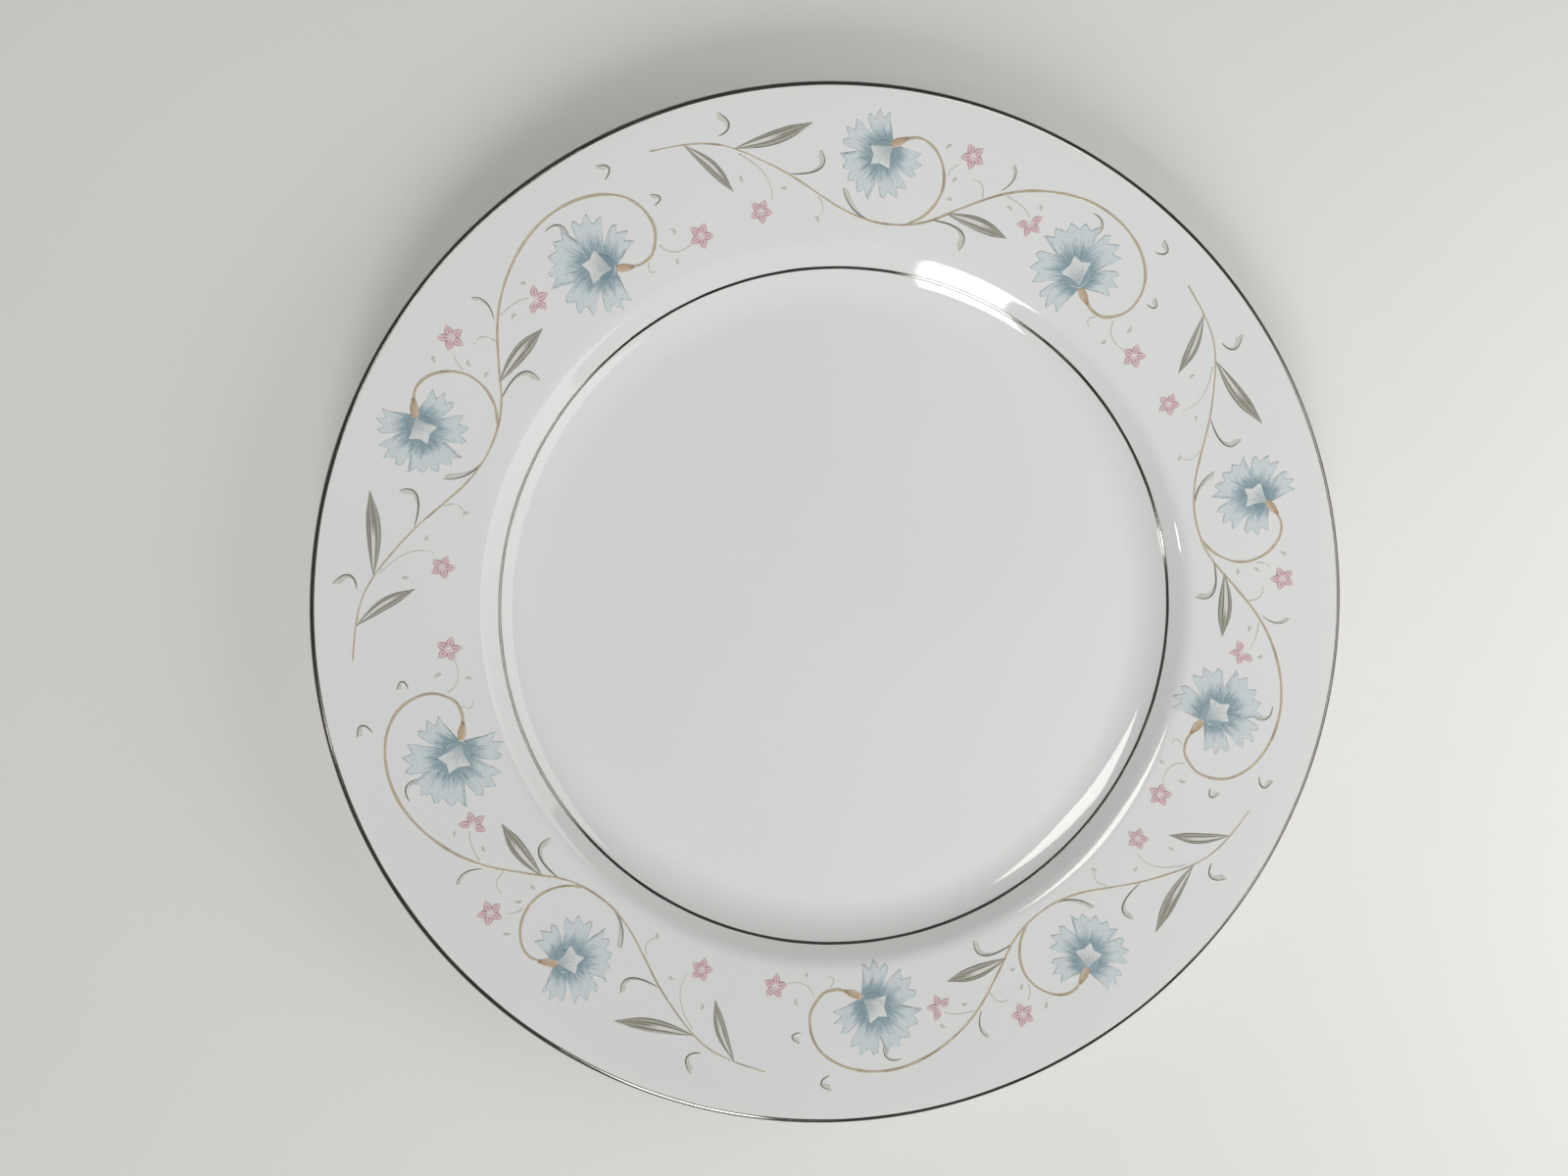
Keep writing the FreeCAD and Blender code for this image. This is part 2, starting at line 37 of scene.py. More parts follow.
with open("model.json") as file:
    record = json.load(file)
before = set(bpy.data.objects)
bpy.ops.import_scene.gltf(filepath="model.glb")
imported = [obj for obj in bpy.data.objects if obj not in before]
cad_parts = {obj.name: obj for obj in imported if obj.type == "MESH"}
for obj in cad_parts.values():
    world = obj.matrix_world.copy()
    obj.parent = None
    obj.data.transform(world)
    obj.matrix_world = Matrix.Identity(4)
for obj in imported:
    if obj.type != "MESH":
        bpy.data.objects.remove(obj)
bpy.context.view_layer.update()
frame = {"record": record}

MM = 0.001
MOUNTS = {mount["name"]: mount for mount in frame["record"]["mounts"]}

# ---------------------------------------------------------------- the turned shape, on the glazed surface
FLOOR_HEIGHT = MOUNTS["well_face"]["pos_m"][2] / MM
FOOT_MIDDLE = MOUNTS["foot_rest"]["pos_m"][0] / MM
RIM_RADIUS = round(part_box("glaze_coat")[1].x / MM, 1)
RIM_SLOPE = math.radians(11.5)
LIP_RADIUS = 1.25
FLOOR_RADIUS = 77.2
CAVETTO_RADIUS = 17.0
WALL_SLOPE = math.radians(40.0)
WALL_LENGTH = 2.6
SHOULDER_RADIUS = 8.0
BODY_THICKNESS = 3.4
FOOT_HALF_WIDTH = 0.8
FOOT_ROUND = 0.8
FOOT_TOP_OUTER = 74.8
FOOT_TOP_INNER = 69.0
GLAZE_THICKNESS = 0.2
VERGE_RADIUS = 87.3
VERGE_LINE_WIDTH = 0.62
LIP_LINE_START = 128.65
LIP_LINE_DROP = 0.3
METAL_RISE = 0.02
METAL_SUNK = 0.05
SEGMENTS = 360

# ---------------------------------------------------------------- the printed spray, drawn flat
# Seen from above, with the plate's axis at (0, 0) and the rim outward along +Y.
SPRAY_MIDDLE = (-5.0, 100.0)
# how each transfer was laid: turn about the axis, tilt about its own middle, and outward slip
SPRAYS = [(-10.7, -1.7, 2.2), (-81.7, -1.9, 0.0), (-152.3, -1.1, -0.5), (133.3, 0.0, -0.2), (59.8, -0.9, 1.9)]
MAIN_VINE = [(-69.5, 96.0), (-62.5, 99.4), (-56.0, 101.6), (-50.0, 102.1), (-43.0, 101.4), (-35.0, 99.9),
             (-27.0, 97.5), (-20.0, 95.5), (-12.5, 94.7), (-5.0, 95.7), (1.5, 98.2), (9.0, 103.2),
             (17.0, 108.1), (25.0, 111.1), (34.0, 112.3), (42.5, 111.4), (50.0, 108.3), (55.8, 103.5),
             (58.9, 98.0), (59.1, 92.8), (56.8, 88.2), (52.0, 85.8), (48.4, 86.6), (46.4, 88.2)]
SCROLL_VINE = [(-3.6, 96.2), (0.0, 99.2), (2.3, 103.2), (2.8, 107.6), (1.0, 112.2), (-2.4, 115.3),
               (-6.0, 116.2), (-9.2, 115.2)]
# each leaf: base, tip, width, and how far its middle bows to the left of the line from base to tip
LEAVES = [((-50.0, 102.1), (-32.6, 113.0), 3.1, -0.5), ((-62.0, 99.6), (-47.8, 92.6), 2.7, 0.8),
          ((5.2, 101.0), (22.0, 98.8), 3.3, 0.5)]
# each leaflet: base, middle of its back, tip, width
LEAFLETS = [((-54.4, 103.9), (-52.6, 107.0), (-55.9, 109.0), 1.4),
            ((-35.2, 100.3), (-28.4, 103.6), (-29.2, 107.4), 1.4),
            ((-11.6, 94.8), (-17.6, 96.4), (-21.6, 100.4), 1.3),
            ((1.4, 98.4), (9.9, 97.6), (10.8, 93.2), 1.5),
            ((17.4, 109.4), (19.7, 113.0), (18.9, 116.0), 0.9),
            ((41.6, 109.4), (44.5, 107.6), (44.2, 104.7), 1.0),
            ((59.7, 103.9), (62.4, 104.6), (61.0, 107.1), 1.2),
            ((61.4, 91.2), (63.6, 91.0), (62.9, 93.2), 1.0)]
# each star flower: centre, radius, turn of its first petal, its petals and the angle that they fill
STARS = [((-40.2, 89.9), 3.0, 8.0, 5, 360.0), ((8.3, 115.3), 3.2, -20.0, 5, 360.0),
         ((26.7, 103.6), 3.5, 198.0, 4, 200.0), ((61.8, 78.0), 3.2, 15.0, 5, 360.0)]
# half a petal's width as a share of its length, in a star seen from the front and from the side
STAR_HALF_WIDTHS = (0.29, 0.25)
# along a star flower's petal, from its centre to its point: places, and half widths as shares of the widest
STAR_PETAL = ([0.0, 0.2, 0.4, 0.6, 0.8, 1.0], [0.30, 0.62, 1.0, 0.92, 0.50, 0.0])
# each tendril: from the vine through its middle to its end
TENDRILS = [((-48.6, 101.3), (-41.2, 98.4), (-38.2, 93.2)), ((-27.2, 97.0), (-25.4, 94.8), (-26.0, 92.4)),
            ((3.3, 109.4), (4.0, 111.4), (5.2, 112.6)), ((19.2, 108.4), (23.6, 107.0), (26.2, 105.0)),
            ((54.3, 85.4), (54.9, 81.6), (58.6, 79.0)), ((49.4, 85.4), (47.8, 84.2), (48.7, 82.8)),
            ((13.2, 106.4), (12.4, 109.4), (9.8, 110.2))]
# half a tendril's width where it starts and where it ends
TENDRIL_HALF_WIDTHS = (0.17, 0.10)
TENDRIL_POINTS = 24
# each bud, a small curl beside a tendril: centre, radius and the way that it opens
BUDS = [((-46.0, 96.3), 0.9, 200.0), ((-35.8, 95.9), 0.8, 90.0), ((-26.6, 91.3), 0.9, 40.0),
        ((5.8, 108.6), 0.9, 130.0), ((5.2, 103.7), 0.8, 80.0), ((20.4, 105.2), 0.9, 60.0),
        ((27.8, 107.5), 0.8, 20.0), ((58.2, 84.4), 1.0, 330.0), ((2.2, 115.6), 0.9, 120.0),
        ((53.0, 80.2), 0.8, 300.0)]
# each carnation: throat centre, the point where its calyx holds it, and the length of its longest petal
CARNATIONS = [((-14.4, 110.0), (-12.0, 113.1), 10.4), ((41.4, 95.7), (43.7, 91.0), 11.6)]
# each petal, lowest first: direction counted from the calyx, half width, length as a share, and how far its
# foot lies towards the calyx, as a share of the length
PETALS = [(177.0, 40.0, 0.98, 0.0), (106.0, 23.0, 1.00, 0.06), (254.0, 24.0, 1.00, 0.06),
          (54.0, 20.0, 0.98, 0.24), (308.0, 21.0, 1.00, 0.24)]
PETAL_FOOT = 0.18
# the dark ground in which the petals' feet meet: its shift towards the calyx and its radius, as shares of the
# petals' length, and how far up a petal its shade is taken from
GROUND_SHIFT = 0.13
GROUND_RADIUS = 0.27
GROUND_SHADE = 0.12
# the toothed edge across a petal, from -1 to 1: where each tip and notch is, and how far out as a share
TEETH_NARROW = [(-1.0, 0.90), (-0.72, 0.98), (-0.42, 0.83), (-0.30, 0.88), (0.06, 1.04), (0.28, 0.86),
                (0.40, 0.84), (0.80, 1.0), (1.0, 0.80)]
TEETH_WIDE = [(-1.0, 1.02), (-0.74, 0.84), (-0.48, 0.98), (-0.28, 0.83), (0.02, 1.0), (0.22, 0.82),
              (0.56, 1.02), (0.74, 0.86), (1.0, 1.06)]
# petals with a half width over this have the wide toothed edge
WIDE_PETAL = 30.0
# how much wider than its toothed edge a petal's foot is, wide and narrow, and how narrow its end is
FOOT_SPREAD_WIDE = 1.5
FOOT_SPREAD_NARROW = 2.2
END_SPREAD = 0.95
# the pale throat: direction counted from the calyx, and radius as a share of the petals' length
THROAT = [(0.0, 0.36), (40.0, 0.22), (100.0, 0.34), (138.0, 0.17), (180.0, 0.30), (226.0, 0.17),
          (268.0, 0.36), (320.0, 0.22), (360.0, 0.36)]
# each calyx: where the vine ends, and where it meets the flower
CALYXES = [((-8.6, 115.5), (-12.4, 112.9)), ((46.6, 87.9), (43.6, 91.3))]
VINE_WIDTH = 0.74
# half the width at which every stroke starts and ends
HAIRLINE = 0.03
CALYX_WIDTH = 2.0
# where along a calyx it is widest
CALYX_WAIST = 0.62

# how far each ink's face stands over the glaze
RISE = {"leaflets": 0.006, "tendrils": 0.010, "vine": 0.036, "leaves": 0.044, "stars": 0.044, "petals": 0.048,
        "calyxes": 0.082}
# how much further out each patch of a piece lies than the one before it, and how deep all ink is sunk
STACKED = 0.005
INK_SUNK = 0.02


# ---------------------------------------------------------------- the section of the plate
def arc(centre, radius, start, end, count):
    """Points along an arc, at angles in radians from the horizontal."""
    angles = np.linspace(start, end, count)
    return [(centre[0] + radius * math.cos(a), centre[1] + radius * math.sin(a)) for a in angles]


def step(point, distance, angle):
    return (point[0] + distance * math.cos(angle), point[1] + distance * math.sin(angle))


def rounded(before, corner, after, distance):
    """A rounded corner, which starts and ends that distance from it."""
    before, corner, after = (np.array(p) for p in (before, corner, after))
    start = corner + (before - corner) * distance / np.linalg.norm(before - corner)
    end = corner + (after - corner) * distance / np.linalg.norm(after - corner)
    shares = np.linspace(0, 1, 7)
    return [tuple((1 - t) ** 2 * start + 2 * t * (1 - t) * corner + t ** 2 * end) for t in shares]


QUARTER = math.pi / 2
CAVETTO_CENTRE = (FLOOR_RADIUS, FLOOR_HEIGHT + CAVETTO_RADIUS)
WALL_END = step(step(CAVETTO_CENTRE, CAVETTO_RADIUS, WALL_SLOPE - QUARTER), WALL_LENGTH, WALL_SLOPE)
SHOULDER_CENTRE = step(WALL_END, SHOULDER_RADIUS, WALL_SLOPE - QUARTER)
RIM_RUN = RIM_RADIUS - LIP_RADIUS - SHOULDER_CENTRE[0]
RIM_RISE = RIM_RUN * math.tan(RIM_SLOPE) + (SHOULDER_RADIUS - LIP_RADIUS) / math.cos(RIM_SLOPE)
LIP_CENTRE = (SHOULDER_CENTRE[0] + RIM_RUN, SHOULDER_CENTRE[1] + RIM_RISE)
LIP_SIDE = -LIP_LINE_DROP / LIP_RADIUS


def section(inset):
    """The plate's section in four runs of (radius, height): the face from the axis to the edge of the lip,
    the back down to the glaze line on the foot, the bare foot, and the recess inside it back to the axis."""
    inner = SHOULDER_RADIUS - BODY_THICKNESS
    lean = math.asin((inner + LIP_RADIUS) / math.hypot(RIM_RUN, RIM_RISE))
    under_slope = math.atan2(RIM_RISE, RIM_RUN) - lean
    under = FLOOR_HEIGHT - BODY_THICKNESS + inset

    face = [(r, FLOOR_HEIGHT - inset) for r in (0.0, 3.0, 15.0, 30.0, 45.0, 60.0, 70.0)]
    face += arc(CAVETTO_CENTRE, CAVETTO_RADIUS + inset, -QUARTER, WALL_SLOPE - QUARTER, 20)
    face += arc(SHOULDER_CENTRE, SHOULDER_RADIUS - inset, WALL_SLOPE + QUARTER, RIM_SLOPE + QUARTER, 12)
    start = np.array(face[-1])
    end = np.array(step(LIP_CENTRE, LIP_RADIUS - inset, RIM_SLOPE + QUARTER))
    face += [tuple(start + (end - start) * k / 12) for k in range(1, 12)]
    face += arc(LIP_CENTRE, LIP_RADIUS - inset, RIM_SLOPE + QUARTER, LIP_SIDE, 16)

    back = arc(LIP_CENTRE, LIP_RADIUS - inset, LIP_SIDE, under_slope - QUARTER, 12)[1:]
    back += arc(SHOULDER_CENTRE, inner + inset, under_slope + QUARTER, WALL_SLOPE + QUARTER, 12)
    back += arc(CAVETTO_CENTRE, CAVETTO_RADIUS + BODY_THICKNESS - inset, WALL_SLOPE - QUARTER, -QUARTER, 16)
    out, within = FOOT_MIDDLE + FOOT_HALF_WIDTH, FOOT_MIDDLE - FOOT_HALF_WIDTH
    third = math.radians(60)
    reach, line_height = FOOT_ROUND * math.sin(third), FOOT_ROUND / 2
    flank = (FOOT_TOP_OUTER - inset, under)
    back += rounded(back[-1], flank, (out + reach, line_height), 0.9)
    back.append((out + reach, line_height))
    foot = arc((out, FOOT_ROUND), FOOT_ROUND, third - QUARTER, -QUARTER, 6)[1:]
    foot += arc((within, FOOT_ROUND), FOOT_ROUND, -QUARTER, -QUARTER - third, 6)[:-1]
    recess = [(within - reach, line_height)]
    recess += rounded(recess[0], (FOOT_TOP_INNER + inset, under), (0.0, under), 0.9)
    recess += [(r, under) for r in (55.0, 40.0, 20.0, 5.0, 0.0)]
    return face, back, foot, recess


FACE, BACK, FOOT, RECESS = section(0.0)
INNER_FACE, INNER_BACK, _, INNER_RECESS = section(GLAZE_THICKNESS)
UPPER = np.array([p for p in FACE if p[0] < LIP_CENTRE[0]])


def face_height(r):
    return np.interp(r, UPPER[:, 0], UPPER[:, 1])


def settled(x, y):
    """How far the fired rim has risen or sunk at a place, in millimetres."""
    turn = np.arctan2(y, x)
    far = np.clip((np.hypot(x, y) - 90.0) / 40.0, 0.0, 1.1)
    return 0.12 * far ** 2 * (np.sin(2 * turn + 0.7) + 0.4 * np.sin(3 * turn + 2.3))


# ---------------------------------------------------------------- meshes
def make_object(name, vertices, faces, material):
    """A smooth mesh object from points in millimetres, which settle with the fired rim."""
    points = np.array(vertices, float)
    points[:, 2] += settled(points[:, 0], points[:, 1])
    mesh = bpy.data.meshes.new(name)
    mesh.from_pydata((points * MM).tolist(), [], faces)
    mesh.polygons.foreach_set("use_smooth", [True] * len(mesh.polygons))
    mesh.materials.append(material)
    mesh.update()
    piece = bpy.data.objects.new(name, mesh)
    bpy.context.scene.collection.objects.link(piece)
    return piece


def lathe(name, outline, material):
    """A closed form turned from an outline whose two ends lie on the axis."""
    vertices, rings, faces = [], [], []
    angles = [2 * math.pi * k / SEGMENTS for k in range(SEGMENTS)]
    for r, z in outline:
        first = len(vertices)
        if r < 1e-6:
            vertices.append((0.0, 0.0, z))
            rings.append([first] * SEGMENTS)
        else:
            vertices.extend((r * math.cos(a), r * math.sin(a), z) for a in angles)
            rings.append(list(range(first, first + SEGMENTS)))
    for near, far in zip(rings, rings[1:]):
        for k in range(SEGMENTS):
            n = (k + 1) % SEGMENTS
            faces.append(list(dict.fromkeys([near[k], far[k], far[n], near[n]])))
    return make_object(name, vertices, faces, material)


def ring(name, outline_at, material):
    """A closed ring whose closed outline is outline_at(azimuth)."""
    outlines = [outline_at(2 * math.pi * k / SEGMENTS) for k in range(SEGMENTS)]
    count = len(outlines[0])
    vertices, faces = [], []
    for k, outline in enumerate(outlines):
        a, n = 2 * math.pi * k / SEGMENTS, (k + 1) % SEGMENTS
        vertices.extend((r * math.cos(a), r * math.sin(a), z) for r, z in outline)
        for i in range(count):
            j = (i + 1) % count
            faces.append([k * count + i, k * count + j, n * count + j, n * count + i])
    return make_object(name, vertices, faces, material)


def placed(flat, placing):
    """Where points of the flat spray come to lie, seen from above."""
    turn, tilt, slip = placing
    tilt, turn = math.radians(tilt), math.radians(turn)
    x, y = flat[:, 0] - SPRAY_MIDDLE[0], flat[:, 1] - SPRAY_MIDDLE[1]
    x, y = x * math.cos(tilt) - y * math.sin(tilt), x * math.sin(tilt) + y * math.cos(tilt)
    x, y = x + SPRAY_MIDDLE[0], y + SPRAY_MIDDLE[1] + slip
    turned = [x * math.cos(turn) - y * math.sin(turn), x * math.sin(turn) + y * math.cos(turn)]
    return np.stack(turned, axis=1)


def facing_up(points):
    first, across, along = points[:-1, :-1], points[:-1, 1:], points[1:, :-1]
    a, b = across - first, along - first
    return float((a[..., 0] * b[..., 1] - a[..., 1] * b[..., 0]).sum()) > 0


def printed(name, placing, rise, patches, materials):
    """Ink on the face of the rim. Each patch is a grid of flat points, its brush values and its material's
    number. Later patches lie over earlier ones."""
    vertices, faces, numbers, brushes = [], [], [], []
    for order, (points, brush, number) in enumerate(patches):
        if not facing_up(points):
            points, brush = points[:, ::-1], brush[:, ::-1]
        rows, columns = points.shape[:2]
        flat = placed(points.reshape(-1, 2), placing)
        height = face_height(np.hypot(flat[:, 0], flat[:, 1]))
        top = len(vertices)
        bottom = top + rows * columns
        vertices.extend(zip(flat[:, 0], flat[:, 1], height + rise + STACKED * order))
        vertices.extend(zip(flat[:, 0], flat[:, 1], height - INK_SUNK))
        brushes.extend(brush.reshape(-1, 3).tolist() * 2)
        before = len(faces)
        for i in range(rows - 1):
            for j in range(columns - 1):
                a = i * columns + j
                quad = [a, a + 1, a + columns + 1, a + columns]
                faces.append([top + corner for corner in quad])
                faces.append([bottom + corner for corner in reversed(quad)])
        edge = list(range(columns)) + [i * columns + columns - 1 for i in range(1, rows)]
        edge += [(rows - 1) * columns + j for j in range(columns - 2, -1, -1)]
        edge += [i * columns for i in range(rows - 2, 0, -1)]
        for a, b in zip(edge, edge[1:] + edge[:1]):
            faces.append([top + b, top + a, bottom + a, bottom + b])
        numbers.extend([number] * (len(faces) - before))
    piece = make_object(name, vertices, faces, materials[0])
    for material in materials[1:]:
        piece.data.materials.append(material)
    piece.data.polygons.foreach_set("material_index", numbers)
    layer = piece.data.attributes.new("brush", "FLOAT_VECTOR", "POINT")
    layer.data.foreach_set("vector", np.array(brushes, np.float32).ravel())
    return piece


# ---------------------------------------------------------------- the shapes that are printed
def through(points, spacing=0.5):
    """A smooth line through the points."""
    points = np.array(points, float)
    points = np.vstack([2 * points[0] - points[1], points, 2 * points[-1] - points[-2]])
    line = []
    for before, start, end, after in zip(points, points[1:], points[2:], points[3:]):
        count = max(2, int(np.linalg.norm(end - start) / spacing))
        bend = 2 * before - 5 * start + 4 * end - after
        twist = 3 * start - before - 3 * end + after
        for t in np.arange(count) / count:
            line.append(start + 0.5 * ((end - before) * t + bend * t ** 2 + twist * t ** 3))
    return np.array(line + [points[-2]])


def ribbon(line, left, right, seed, columns=7):
    """A patch along a line, reaching that far to each side of it. Brush: across from -1 to 1, millimetres
    along, and seed."""
    along = np.gradient(line, axis=0)
    along /= np.linalg.norm(along, axis=1)[:, None]
    aside = np.stack([-along[:, 1], along[:, 0]], axis=1)
    across = np.linspace(-1, 1, columns)
    reach = np.where(across[None, :] > 0, left[:, None], right[:, None]) * across[None, :]
    points = line[:, None, :] + aside[:, None, :] * reach[:, :, None]
    lengths = np.concatenate([[0], np.cumsum(np.linalg.norm(np.diff(line, axis=0), axis=1))])
    brush = np.stack(np.broadcast_arrays(across[None, :], lengths[:, None], float(seed)), axis=2)
    return points, brush, 0


def vine(points, seed, start_share, end_share):
    """A stem drawn with a pen: it swells and thins a little along its way."""
    line = through(points)
    share = np.linspace(0, 1, len(line))
    length = share * len(line) * 0.5
    swell = 1 + 0.12 * np.sin(length * 0.31 + seed) + 0.08 * np.sin(length * 0.83 + 2 * seed)
    half = VINE_WIDTH / 2 * (start_share + (end_share - start_share) * share) * swell
    return ribbon(line, half, half, seed, 5)


def leaf(base, tip, width, bow, seed):
    """A willow leaf with a sharp tip, widest beyond its middle."""
    base, tip = np.array(base), np.array(tip)
    along = tip - base
    aside = np.array([-along[1], along[0]]) / np.linalg.norm(along)
    line = through([base, (base + tip) / 2 + aside * bow, tip], 0.4)
    t = np.linspace(0, 1, len(line))
    sharpened = 1 - 0.35 * np.clip((t - 0.75) / 0.25, 0, 1)
    half = HAIRLINE + width / 2 * np.sin(math.pi * t ** 1.15) ** 0.85 * sharpened
    return ribbon(line, half, half, seed, 13)


def bowed(base, back, tip, count):
    """A round stroke from base to tip that passes its back halfway along."""
    base, back, tip = (np.array(p, float) for p in (base, back, tip))
    t = np.linspace(0, 1, count)[:, None]
    return (1 - t) * (1 - 2 * t) * base + 4 * t * (1 - t) * back + t * (2 * t - 1) * tip


def leaflet(base, back, tip, width, seed):
    """A curled brush mark: its back follows the stroke, its belly fills out towards the tip."""
    line = bowed(base, back, tip, 24)
    t = np.linspace(0, 1, len(line))
    filling, closing = np.clip((t - 0.3) / 0.7, 0, 1), np.clip((1.0 - t) / 0.12, 0, 1)
    belly = HAIRLINE + width * filling ** 0.8 * closing ** 0.5
    spine = 0.10 + width * 0.26 * np.sin(math.pi * t ** 0.7) ** 0.8
    inward = np.cross(np.array(back) - np.array(base), np.array(tip) - np.array(back)) > 0
    left, right = (belly, spine) if inward else (spine, belly)
    points, brush, number = ribbon(line, left, right, seed, 9)
    if not inward:
        brush[..., 0] = -brush[..., 0]
    return points, brush, number


def bud(centre, radius, way, seed):
    """A tiny curl of faint ink."""
    angles = np.radians(way + np.linspace(-45, 75, 12))
    line = np.array(centre) + radius * np.stack([np.cos(angles), np.sin(angles)], axis=1)
    t = np.linspace(0, 1, len(line))
    half = 0.06 + 0.42 * np.sin(math.pi * t ** 0.7)
    return ribbon(line, half, half * 0.6, seed, 5)


def star_petal(centre, radius, direction, half_width, seed):
    """One petal of a star flower: narrow at the centre, broad beyond its middle, with a soft point."""
    t = np.linspace(0, 1, 14)
    heading = np.array([math.cos(math.radians(direction)), math.sin(math.radians(direction))])
    line = np.array(centre) + (0.06 + 0.94 * t)[:, None] * radius * heading
    half = HAIRLINE + half_width * radius * np.interp(t, *STAR_PETAL)
    points, brush, number = ribbon(line, half, half, seed, 9)
    brush[..., 1] /= radius
    return points, brush, number


def disc(centre, radius_at, seed, number):
    """A patch that fills the outline radius_at(angle) round a centre. Brush: offset from there, and seed."""
    side = np.linspace(-1, 1, 21)
    u, v = np.meshgrid(side, side)
    share, angle = np.maximum(np.abs(u), np.abs(v)), np.arctan2(v, u)
    radius = share * radius_at(angle)
    offset = np.stack([radius * np.cos(angle), radius * np.sin(angle)], axis=2)
    brush = np.stack(np.broadcast_arrays(offset[..., 0], offset[..., 1], float(seed)), axis=2)
    return np.array(centre) + offset, brush, number


def petal(middle, turn, length, direction, half, share, lean, teeth, seed):
    """A carnation petal: a fan whose toothed edge is far from the throat and whose foot leans to the calyx.
    Brush: across from -1 to 1, share of the way out, and seed."""
    across, out = np.linspace(-1, 1, 41), np.linspace(0, 1, 26)
    edge = np.interp(across, *zip(*teeth))
    s, t = np.meshgrid(across, out)
    reach = length * share * (PETAL_FOOT + (edge[None, :] - PETAL_FOOT) * t)
    foot = FOOT_SPREAD_WIDE if half > WIDE_PETAL else FOOT_SPREAD_NARROW
    spread = END_SPREAD + (foot - END_SPREAD) * (1 - t) ** 1.7
    angle = np.radians(turn + direction + s * half * spread)
    points = np.stack([middle[0] + reach * np.cos(angle), middle[1] + reach * np.sin(angle)], axis=2)
    # its foot lies towards the calyx, so that its sides curve
    towards = np.array([math.cos(math.radians(turn)), math.sin(math.radians(turn))])
    points += ((1 - t) ** 1.6)[..., None] * length * lean * towards
    brush = np.stack(np.broadcast_arrays(s, t, float(seed)), axis=2)
    return points, brush, 0


def carnation(middle, calyx_point, length, seed):
    """Five petals round a pale star-shaped throat."""
    turn = math.degrees(math.atan2(calyx_point[1] - middle[1], calyx_point[0] - middle[0]))
    patches = []
    for k, (direction, half, share, lean) in enumerate(PETALS):
        teeth = TEETH_WIDE if half > WIDE_PETAL else TEETH_NARROW
        if k % 2:
            teeth = [(-place, reach) for place, reach in reversed(teeth)]
        patches.append(petal(middle, turn, length, direction, half, share, lean, teeth, seed + k))
    directions, shares = zip(*THROAT)
    to_calyx = math.radians(turn)
    ground_middle = step(middle, length * GROUND_SHIFT, to_calyx)
    ground, brush, _ = disc(ground_middle, lambda angle: length * GROUND_RADIUS, seed, 0)
    patches.append((ground, np.broadcast_to([0.0, GROUND_SHADE, float(seed)], brush.shape), 0))

    def outline(angle):
        """The star's straight-sided outline."""
        counted = (np.degrees(angle) - turn) % 360
        side = np.clip(np.searchsorted(directions, counted, side="right") - 1, 0, len(directions) - 2)
        start, end = np.radians(np.take(directions, side)), np.radians(np.take(directions, side + 1))
        first, last, here = np.take(shares, side), np.take(shares, side + 1), np.radians(counted)
        apart = first * np.sin(here - start) + last * np.sin(end - here)
        return length * first * last * np.sin(end - start) / apart

    points, brush, number = disc(middle, outline, seed, 1)
    x, y = brush[..., 0] / length, brush[..., 1] / length
    brush = brush.copy()
    brush[..., 0] = x * math.cos(to_calyx) + y * math.sin(to_calyx)
    brush[..., 1] = y * math.cos(to_calyx) - x * math.sin(to_calyx)
    return patches + [(points, brush, number)]


def calyx(stem, flower, seed):
    """The bell that holds a flower, widening from the vine."""
    line = through([stem, flower], 0.3)
    t = np.linspace(0, 1, len(line))
    swell = np.sin(QUARTER * np.clip(t / CALYX_WAIST, 0, 1)) ** 1.5
    half = VINE_WIDTH / 2 + (CALYX_WIDTH / 2 - VINE_WIDTH / 2) * swell
    half *= 1 - 0.28 * np.clip((t - CALYX_WAIST) / (1 - CALYX_WAIST), 0, 1)
    points, brush, number = ribbon(line, half, half, seed, 9)
    brush[..., 1] /= brush[..., 1].max()
    return points, brush, number


